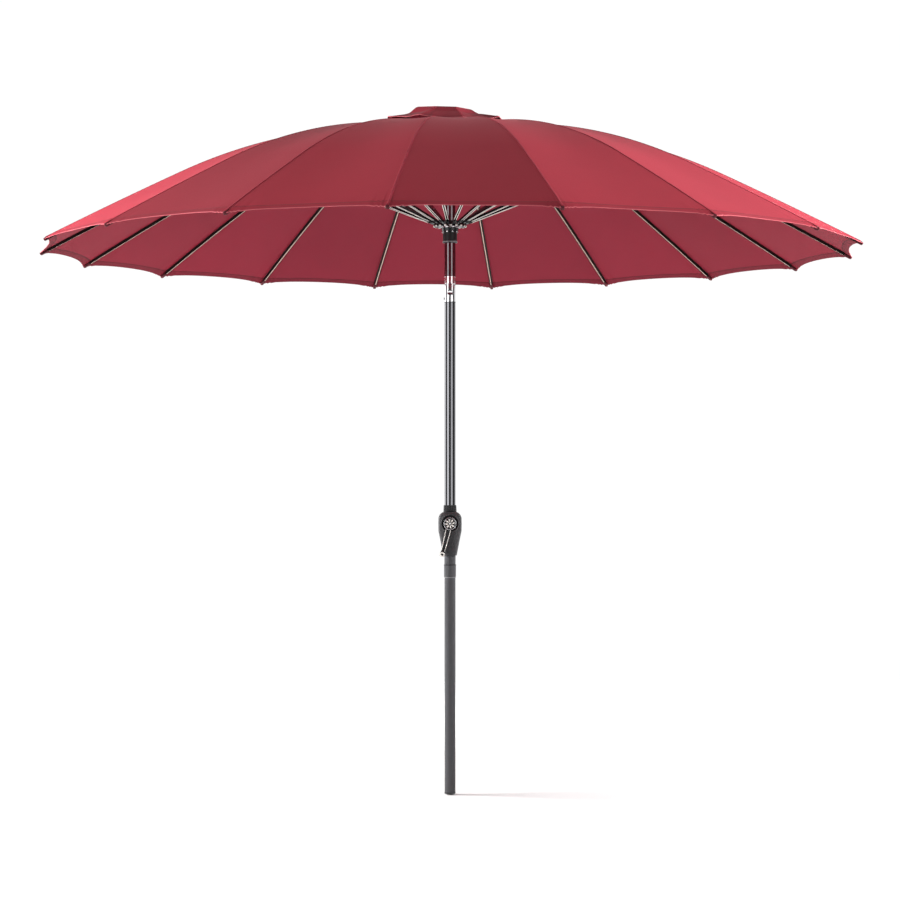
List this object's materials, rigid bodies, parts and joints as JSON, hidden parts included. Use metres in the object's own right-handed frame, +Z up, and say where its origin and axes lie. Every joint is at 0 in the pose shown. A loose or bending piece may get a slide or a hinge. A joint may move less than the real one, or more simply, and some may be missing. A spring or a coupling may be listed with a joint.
{
  "type": "patio umbrella",
  "caption": "Round market parasol on a two-part pole, with many slim ribs, a vented burgundy cover, a crank lift and a tilting joint; its pole foot fits a separate stand.",
  "frame": {"origin": "centre of the pole's cut lower end, where it stands in its base", "axes": "+Z up the pole's axis; the crank is on the -Y side, so -Y is the front; +X to the right seen from the front"},
  "size_m": [2.8004, 2.783, 2.352],
  "materials": {
    "pole_matte": "matte",
    "pole_gloss": "gloss",
    "housing": "satin",
    "dark_plastic": "satin",
    "crank_body": "satin",
    "bright": "polished",
    "cast": "satin",
    "hub_plastic": "gloss",
    "rib_paint": "satin",
    "strut_paint": "gloss",
    "cloth": "matte"
  },
  "bodies": {
    "lower": {"lower_pole": "pole_matte", "pole_end_plug": "dark_plastic", "pole_coupler": "housing"},
    "mast": {"middle_pole": "pole_gloss", "crank_housing_front": "housing", "crank_housing_back": "housing", "housing_screws": "bright", "tilt_lower_jaw": "cast", "tilt_pivot_pin": "bright"},
    "crank": {"winding_drum": "cast", "crank_arm": "crank_body", "crank_dial": "bright"},
    "crank_grip": {"crank_knob": "dark_plastic"},
    "button": {"tilt_button": "dark_plastic"},
    "upper": {"tilt_upper_jaw": "cast", "top_pole": "pole_gloss", "crown_hub": "hub_plastic", "crown_wire": "bright", "crown_cap": "dark_plastic", "canopy": "cloth", "vent_cap": "cloth"},
    "pulley": {"cord_pulley": "dark_plastic"},
    "runner": {"runner_hub": "hub_plastic", "runner_collar": "dark_plastic"},
    "rib_01": {"rib_01": "rib_paint"},
    "strut_01": {"strut_01": "strut_paint"},
    "rib_02": {"rib_02": "rib_paint"},
    "strut_02": {"strut_02": "strut_paint"},
    "rib_03": {"rib_03": "rib_paint"},
    "strut_03": {"strut_03": "strut_paint"},
    "rib_04": {"rib_04": "rib_paint"},
    "strut_04": {"strut_04": "strut_paint"},
    "rib_05": {"rib_05": "rib_paint"},
    "strut_05": {"strut_05": "strut_paint"},
    "rib_06": {"rib_06": "rib_paint"},
    "strut_06": {"strut_06": "strut_paint"},
    "rib_07": {"rib_07": "rib_paint"},
    "strut_07": {"strut_07": "strut_paint"},
    "rib_08": {"rib_08": "rib_paint"},
    "strut_08": {"strut_08": "strut_paint"},
    "rib_09": {"rib_09": "rib_paint"},
    "strut_09": {"strut_09": "strut_paint"},
    "rib_10": {"rib_10": "rib_paint"},
    "strut_10": {"strut_10": "strut_paint"},
    "rib_11": {"rib_11": "rib_paint"},
    "strut_11": {"strut_11": "strut_paint"},
    "rib_12": {"rib_12": "rib_paint"},
    "strut_12": {"strut_12": "strut_paint"},
    "rib_13": {"rib_13": "rib_paint"},
    "strut_13": {"strut_13": "strut_paint"},
    "rib_14": {"rib_14": "rib_paint"},
    "strut_14": {"strut_14": "strut_paint"},
    "rib_15": {"rib_15": "rib_paint"},
    "strut_15": {"strut_15": "strut_paint"},
    "rib_16": {"rib_16": "rib_paint"},
    "strut_16": {"strut_16": "strut_paint"},
    "rib_17": {"rib_17": "rib_paint"},
    "strut_17": {"strut_17": "strut_paint"},
    "rib_18": {"rib_18": "rib_paint"},
    "strut_18": {"strut_18": "strut_paint"}
  },
  "joints": [
    {"name": "pole_swivel", "type": "hinge", "parent": "lower", "child": "mast", "pos_m": [0, 0, 0.789], "axis": [0, 0, 1], "continuous": true},
    {"name": "runner_slide", "type": "slide", "parent": "upper", "child": "runner", "axis": [0, 0, 1], "range_m": [-0.893, 0], "deforming": ["canopy", "vent_cap"]},
    {"name": "tilt", "type": "hinge", "parent": "mast", "child": "upper", "pos_m": [0, 0, 1.737], "axis": [-1, 0, 0], "range_deg": [0, 40]},
    {"name": "tilt_button_press", "type": "slide", "parent": "mast", "child": "button", "axis": [1, 0, 0], "range_m": [0, 0.002], "stiffness_N_per_m": 600, "springref_m": -0.004},
    {"name": "knob_spin", "type": "hinge", "parent": "crank", "child": "crank_grip", "pos_m": [-0.02655, -0.07, 0.82783], "axis": [0, -1, 0], "continuous": true},
    {"name": "crank_turn", "type": "hinge", "parent": "mast", "child": "crank", "pos_m": [0, 0, 0.932], "axis": [0, -1, 0], "continuous": true},
    {"name": "pulley_turn", "type": "hinge", "parent": "upper", "child": "pulley", "pos_m": [0, 0, 2.258], "axis": [0, -1, 0], "continuous": true},
    {"name": "rib_fold_01", "type": "hinge", "parent": "upper", "child": "rib_01", "pos_m": [0.05193, 0.00263, 2.292], "axis": [-0.0506, 0.9987, 0], "range_deg": [-0.5, 69.5]},
    {"name": "strut_fold_01", "type": "hinge", "parent": "rib_01", "child": "strut_01", "pos_m": [0.64817, 0.03284, 2.19536], "axis": [-0.0506, 0.9987, 0], "range_deg": [-127.01, 0.5]},
    {"name": "rib_fold_02", "type": "hinge", "parent": "upper", "child": "rib_02", "pos_m": [0.0479, 0.02023, 2.292], "axis": [-0.3891, 0.9212, 0], "range_deg": [-0.5, 69.5]},
    {"name": "strut_fold_02", "type": "hinge", "parent": "rib_02", "child": "strut_02", "pos_m": [0.59785, 0.25254, 2.19536], "axis": [-0.3891, 0.9212, 0], "range_deg": [-127.01, 0.5]},
    {"name": "rib_fold_03", "type": "hinge", "parent": "upper", "child": "rib_03", "pos_m": [0.03809, 0.0354, 2.292], "axis": [-0.6807, 0.7325, 0], "range_deg": [-0.5, 69.5]},
    {"name": "strut_fold_03", "type": "hinge", "parent": "rib_03", "child": "strut_03", "pos_m": [0.47542, 0.44179, 2.19536], "axis": [-0.6807, 0.7325, 0], "range_deg": [-127.01, 0.5]},
    {"name": "rib_fold_04", "type": "hinge", "parent": "upper", "child": "rib_04", "pos_m": [0.02369, 0.04629, 2.292], "axis": [-0.8902, 0.4555, 0], "range_deg": [-0.5, 69.5]},
    {"name": "strut_fold_04", "type": "hinge", "parent": "rib_04", "child": "strut_04", "pos_m": [0.29565, 0.57775, 2.19536], "axis": [-0.8902, 0.4555, 0], "range_deg": [-127.01, 0.5]},
    {"name": "rib_fold_05", "type": "hinge", "parent": "upper", "child": "rib_05", "pos_m": [0.00643, 0.0516, 2.292], "axis": [-0.9923, 0.1236, 0], "range_deg": [-0.5, 69.5]},
    {"name": "strut_fold_05", "type": "hinge", "parent": "rib_05", "child": "strut_05", "pos_m": [0.08022, 0.64402, 2.19536], "axis": [-0.9923, 0.1236, 0], "range_deg": [-127.01, 0.5]},
    {"name": "rib_fold_06", "type": "hinge", "parent": "upper", "child": "rib_06", "pos_m": [-0.01161, 0.05069, 2.292], "axis": [-0.9748, -0.2233, 0], "range_deg": [-0.5, 69.5]},
    {"name": "strut_fold_06", "type": "hinge", "parent": "rib_06", "child": "strut_06", "pos_m": [-0.14489, 0.63262, 2.19536], "axis": [-0.9748, -0.2233, 0], "range_deg": [-127.01, 0.5]},
    {"name": "rib_fold_07", "type": "hinge", "parent": "upper", "child": "rib_07", "pos_m": [-0.02824, 0.04366, 2.292], "axis": [-0.8396, -0.5432, 0], "range_deg": [-0.5, 69.5]},
    {"name": "strut_fold_07", "type": "hinge", "parent": "rib_07", "child": "strut_07", "pos_m": [-0.35252, 0.54491, 2.19536], "axis": [-0.8396, -0.5432, 0], "range_deg": [-127.01, 0.5]},
    {"name": "rib_fold_08", "type": "hinge", "parent": "upper", "child": "rib_08", "pos_m": [-0.04147, 0.03137, 2.292], "axis": [-0.6032, -0.7976, 0], "range_deg": [-0.5, 69.5]},
    {"name": "strut_fold_08", "type": "hinge", "parent": "rib_08", "child": "strut_08", "pos_m": [-0.51763, 0.39148, 2.19536], "axis": [-0.6032, -0.7976, 0], "range_deg": [-127.01, 0.5]},
    {"name": "rib_fold_09", "type": "hinge", "parent": "upper", "child": "rib_09", "pos_m": [-0.0497, 0.01529, 2.292], "axis": [-0.294, -0.9558, 0], "range_deg": [-0.5, 69.5]},
    {"name": "strut_fold_09", "type": "hinge", "parent": "rib_09", "child": "strut_09", "pos_m": [-0.62031, 0.19083, 2.19536], "axis": [-0.294, -0.9558, 0], "range_deg": [-127.01, 0.5]},
    {"name": "rib_fold_10", "type": "hinge", "parent": "upper", "child": "rib_10", "pos_m": [-0.05193, -0.00263, 2.292], "axis": [0.0506, -0.9987, 0], "range_deg": [-0.5, 69.5]},
    {"name": "strut_fold_10", "type": "hinge", "parent": "rib_10", "child": "strut_10", "pos_m": [-0.64817, -0.03284, 2.19536], "axis": [0.0506, -0.9987, 0], "range_deg": [-127.01, 0.5]},
    {"name": "rib_fold_11", "type": "hinge", "parent": "upper", "child": "rib_11", "pos_m": [-0.0479, -0.02023, 2.292], "axis": [0.3891, -0.9212, 0], "range_deg": [-0.5, 69.5]},
    {"name": "strut_fold_11", "type": "hinge", "parent": "rib_11", "child": "strut_11", "pos_m": [-0.59785, -0.25254, 2.19536], "axis": [0.3891, -0.9212, 0], "range_deg": [-127.01, 0.5]},
    {"name": "rib_fold_12", "type": "hinge", "parent": "upper", "child": "rib_12", "pos_m": [-0.03809, -0.0354, 2.292], "axis": [0.6807, -0.7325, 0], "range_deg": [-0.5, 69.5]},
    {"name": "strut_fold_12", "type": "hinge", "parent": "rib_12", "child": "strut_12", "pos_m": [-0.47542, -0.44179, 2.19536], "axis": [0.6807, -0.7325, 0], "range_deg": [-127.01, 0.5]},
    {"name": "rib_fold_13", "type": "hinge", "parent": "upper", "child": "rib_13", "pos_m": [-0.02369, -0.04629, 2.292], "axis": [0.8902, -0.4555, 0], "range_deg": [-0.5, 69.5]},
    {"name": "strut_fold_13", "type": "hinge", "parent": "rib_13", "child": "strut_13", "pos_m": [-0.29565, -0.57775, 2.19536], "axis": [0.8902, -0.4555, 0], "range_deg": [-127.01, 0.5]},
    {"name": "rib_fold_14", "type": "hinge", "parent": "upper", "child": "rib_14", "pos_m": [-0.00643, -0.0516, 2.292], "axis": [0.9923, -0.1236, 0], "range_deg": [-0.5, 69.5]},
    {"name": "strut_fold_14", "type": "hinge", "parent": "rib_14", "child": "strut_14", "pos_m": [-0.08022, -0.64402, 2.19536], "axis": [0.9923, -0.1236, 0], "range_deg": [-127.01, 0.5]},
    {"name": "rib_fold_15", "type": "hinge", "parent": "upper", "child": "rib_15", "pos_m": [0.01161, -0.05069, 2.292], "axis": [0.9748, 0.2233, 0], "range_deg": [-0.5, 69.5]},
    {"name": "strut_fold_15", "type": "hinge", "parent": "rib_15", "child": "strut_15", "pos_m": [0.14489, -0.63262, 2.19536], "axis": [0.9748, 0.2233, 0], "range_deg": [-127.01, 0.5]},
    {"name": "rib_fold_16", "type": "hinge", "parent": "upper", "child": "rib_16", "pos_m": [0.02824, -0.04366, 2.292], "axis": [0.8396, 0.5432, 0], "range_deg": [-0.5, 69.5]},
    {"name": "strut_fold_16", "type": "hinge", "parent": "rib_16", "child": "strut_16", "pos_m": [0.35252, -0.54491, 2.19536], "axis": [0.8396, 0.5432, 0], "range_deg": [-127.01, 0.5]},
    {"name": "rib_fold_17", "type": "hinge", "parent": "upper", "child": "rib_17", "pos_m": [0.04147, -0.03137, 2.292], "axis": [0.6032, 0.7976, 0], "range_deg": [-0.5, 69.5]},
    {"name": "strut_fold_17", "type": "hinge", "parent": "rib_17", "child": "strut_17", "pos_m": [0.51763, -0.39148, 2.19536], "axis": [0.6032, 0.7976, 0], "range_deg": [-127.01, 0.5]},
    {"name": "rib_fold_18", "type": "hinge", "parent": "upper", "child": "rib_18", "pos_m": [0.0497, -0.01529, 2.292], "axis": [0.294, 0.9558, 0], "range_deg": [-0.5, 69.5]},
    {"name": "strut_fold_18", "type": "hinge", "parent": "rib_18", "child": "strut_18", "pos_m": [0.62031, -0.19083, 2.19536], "axis": [0.294, 0.9558, 0], "range_deg": [-127.01, 0.5]}
  ],
  "couplings": [
    {"joint": "crank_turn", "follows": "runner_slide", "rad_per_m": -91.469},
    {"joint": "pulley_turn", "follows": "runner_slide", "rad_per_m": -105.26},
    {"joint": "rib_fold_01", "follows": "runner_slide", "rad_per_m": -1.3486},
    {"joint": "strut_fold_01", "follows": "runner_slide", "rad_per_m": 2.4727},
    {"joint": "rib_fold_02", "follows": "runner_slide", "rad_per_m": -1.3486},
    {"joint": "strut_fold_02", "follows": "runner_slide", "rad_per_m": 2.4727},
    {"joint": "rib_fold_03", "follows": "runner_slide", "rad_per_m": -1.3486},
    {"joint": "strut_fold_03", "follows": "runner_slide", "rad_per_m": 2.4727},
    {"joint": "rib_fold_04", "follows": "runner_slide", "rad_per_m": -1.3486},
    {"joint": "strut_fold_04", "follows": "runner_slide", "rad_per_m": 2.4727},
    {"joint": "rib_fold_05", "follows": "runner_slide", "rad_per_m": -1.3486},
    {"joint": "strut_fold_05", "follows": "runner_slide", "rad_per_m": 2.4727},
    {"joint": "rib_fold_06", "follows": "runner_slide", "rad_per_m": -1.3486},
    {"joint": "strut_fold_06", "follows": "runner_slide", "rad_per_m": 2.4727},
    {"joint": "rib_fold_07", "follows": "runner_slide", "rad_per_m": -1.3486},
    {"joint": "strut_fold_07", "follows": "runner_slide", "rad_per_m": 2.4727},
    {"joint": "rib_fold_08", "follows": "runner_slide", "rad_per_m": -1.3486},
    {"joint": "strut_fold_08", "follows": "runner_slide", "rad_per_m": 2.4727},
    {"joint": "rib_fold_09", "follows": "runner_slide", "rad_per_m": -1.3486},
    {"joint": "strut_fold_09", "follows": "runner_slide", "rad_per_m": 2.4727},
    {"joint": "rib_fold_10", "follows": "runner_slide", "rad_per_m": -1.3486},
    {"joint": "strut_fold_10", "follows": "runner_slide", "rad_per_m": 2.4727},
    {"joint": "rib_fold_11", "follows": "runner_slide", "rad_per_m": -1.3486},
    {"joint": "strut_fold_11", "follows": "runner_slide", "rad_per_m": 2.4727},
    {"joint": "rib_fold_12", "follows": "runner_slide", "rad_per_m": -1.3486},
    {"joint": "strut_fold_12", "follows": "runner_slide", "rad_per_m": 2.4727},
    {"joint": "rib_fold_13", "follows": "runner_slide", "rad_per_m": -1.3486},
    {"joint": "strut_fold_13", "follows": "runner_slide", "rad_per_m": 2.4727},
    {"joint": "rib_fold_14", "follows": "runner_slide", "rad_per_m": -1.3486},
    {"joint": "strut_fold_14", "follows": "runner_slide", "rad_per_m": 2.4727},
    {"joint": "rib_fold_15", "follows": "runner_slide", "rad_per_m": -1.3486},
    {"joint": "strut_fold_15", "follows": "runner_slide", "rad_per_m": 2.4727},
    {"joint": "rib_fold_16", "follows": "runner_slide", "rad_per_m": -1.3486},
    {"joint": "strut_fold_16", "follows": "runner_slide", "rad_per_m": 2.4727},
    {"joint": "rib_fold_17", "follows": "runner_slide", "rad_per_m": -1.3486},
    {"joint": "strut_fold_17", "follows": "runner_slide", "rad_per_m": 2.4727},
    {"joint": "rib_fold_18", "follows": "runner_slide", "rad_per_m": -1.3486},
    {"joint": "strut_fold_18", "follows": "runner_slide", "rad_per_m": 2.4727}
  ]
}
